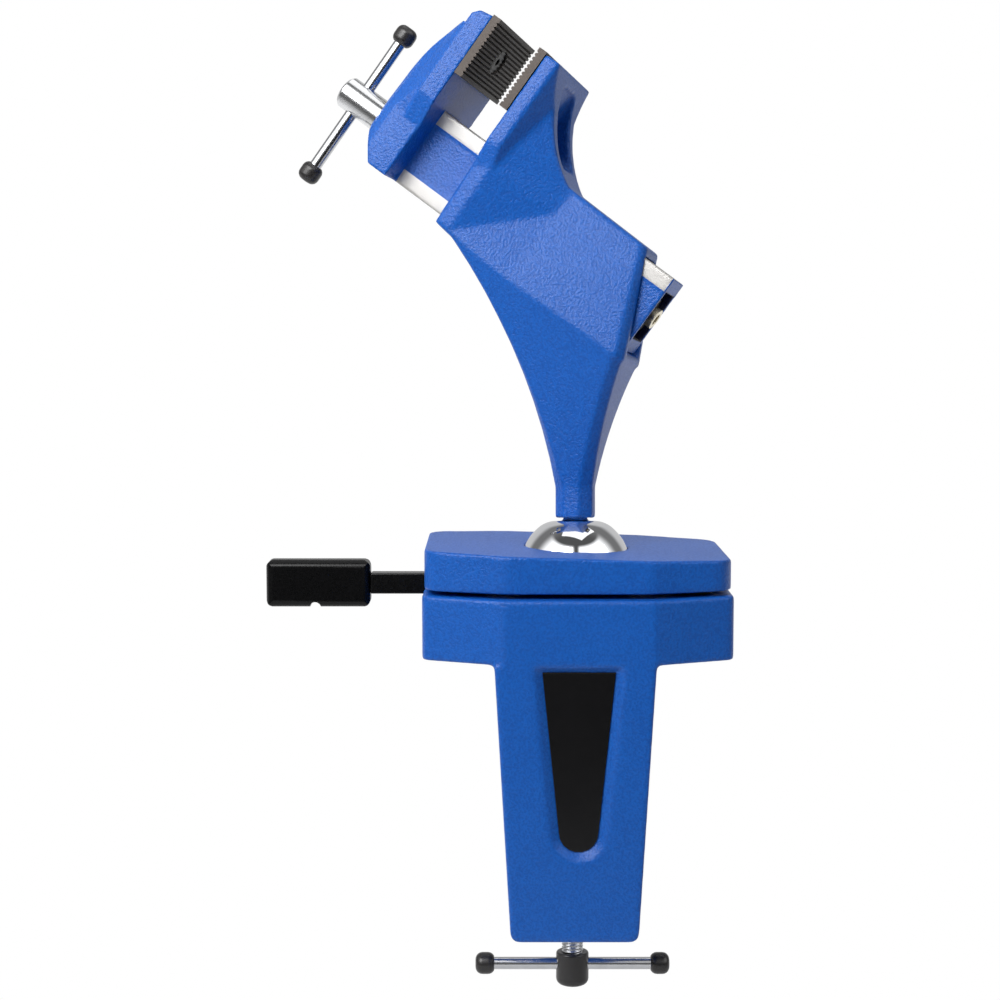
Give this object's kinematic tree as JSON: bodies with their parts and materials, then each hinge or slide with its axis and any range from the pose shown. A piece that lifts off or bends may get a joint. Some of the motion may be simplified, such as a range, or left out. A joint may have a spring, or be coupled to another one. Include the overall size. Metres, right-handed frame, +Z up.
{
  "type": "ball joint vise",
  "caption": "Small bench vise with ridged jaws on a leaning neck that pivots on a lockable chrome ball, held to the bench edge by a screw clamp under its blue base.",
  "frame": {"origin": "on the bench seat, the flat underside of the base block, under the ball's centre", "axes": "+Z up from the bench, +X to the right as seen from the front, the column's label faces -Y"},
  "size_m": [0.163, 0.0959, 0.3523],
  "materials": {
    "blue_paint": "textured satin paint on a die casting",
    "black_label": "smooth bare plate",
    "chrome_ball": "polished",
    "chrome": "polished",
    "zinc_steel": "zinc plated",
    "black_screw": "black oxide",
    "jaw_steel": "black oxide, ridged",
    "brass": "machined",
    "pale_brass": "nickel plated",
    "black_caps": "smooth",
    "black_gloss": "gloss paint",
    "black_grip": "smooth moulding"
  },
  "bodies": {
    "base": {"clamp_frame": "blue_paint", "label_plate": "black_label", "ball_cover": "blue_paint", "cover_spacers": "zinc_steel", "cover_screws": "black_screw"},
    "seat": {"ball_seat": "brass"},
    "ball": {"ball": "chrome_ball"},
    "head": {"head_casting": "blue_paint", "fixed_jaw_plate": "jaw_steel", "fixed_plate_screw": "black_screw", "jaw_nut": "brass"},
    "moving_jaw": {"moving_jaw": "blue_paint", "moving_jaw_plate": "jaw_steel", "moving_plate_screw": "black_screw"},
    "spindle": {"spindle": "chrome", "thrust_washer": "zinc_steel", "retaining_clip": "zinc_steel", "stop_washer": "zinc_steel", "stop_screw": "pale_brass"},
    "spindle_bar": {"spindle_bar": "chrome", "spindle_bar_caps": "black_caps"},
    "pad": {"clamp_pad": "zinc_steel"},
    "clamp_screw": {"clamp_screw": "zinc_steel", "clamp_hub": "black_gloss"},
    "clamp_bar": {"clamp_bar": "chrome", "clamp_bar_caps": "black_caps"},
    "lever": {"lock_bolt": "zinc_steel", "bolt_washer": "zinc_steel", "lever_arm": "black_gloss", "lever_grip": "black_grip"}
  },
  "joints": [
    {"name": "ball_pan", "type": "hinge", "parent": "base", "child": "seat", "pos_m": [0, 0, 0.0275], "axis": [0, 0, 1], "continuous": true},
    {"name": "ball_tilt", "type": "hinge", "parent": "seat", "child": "ball", "pos_m": [0, 0, 0.0275], "axis": [1, 0, 0], "range_deg": [-32, 44]},
    {"name": "head_turn", "type": "hinge", "parent": "ball", "child": "head", "pos_m": [0, 0, 0.0275], "axis": [0, 0.1045, 0.9945], "continuous": true},
    {"name": "jaw_slide", "type": "slide", "parent": "head", "child": "moving_jaw", "axis": [0.7732, -0.2618, -0.5776], "range_m": [-0.0229, 0.0166]},
    {"name": "spindle_turn", "type": "hinge", "parent": "moving_jaw", "child": "spindle", "pos_m": [-0.03728, 0.02414, 0.16497], "axis": [0.7732, -0.2618, -0.5776], "range_deg": [-4124, 2990]},
    {"name": "spindle_bar_slide", "type": "slide", "parent": "spindle", "child": "spindle_bar", "axis": [0.5826, -0.0664, 0.81], "range_m": [-0.0185, 0.0219]},
    {"name": "clamp_travel", "type": "slide", "parent": "base", "child": "pad", "axis": [0, 0, 1], "range_m": [-0.0435, 0.0205]},
    {"name": "clamp_turn", "type": "hinge", "parent": "pad", "child": "clamp_screw", "pos_m": [0, 0.017, -0.06], "axis": [0, 0, 1], "range_deg": [-12530, 5906]},
    {"name": "clamp_bar_slide", "type": "slide", "parent": "clamp_screw", "child": "clamp_bar", "axis": [1, 0, 0], "range_m": [-0.0223, 0.0223]},
    {"name": "lever_swing", "type": "hinge", "parent": "base", "child": "lever", "pos_m": [-0.04, 0, 0.0231], "axis": [0, 0, 1], "range_deg": [-60, 15]}
  ],
  "couplings": [
    {"joint": "spindle_turn", "follows": "jaw_slide", "rad_per_m": 3141.6},
    {"joint": "clamp_turn", "follows": "clamp_travel", "rad_per_m": 5026.5}
  ]
}
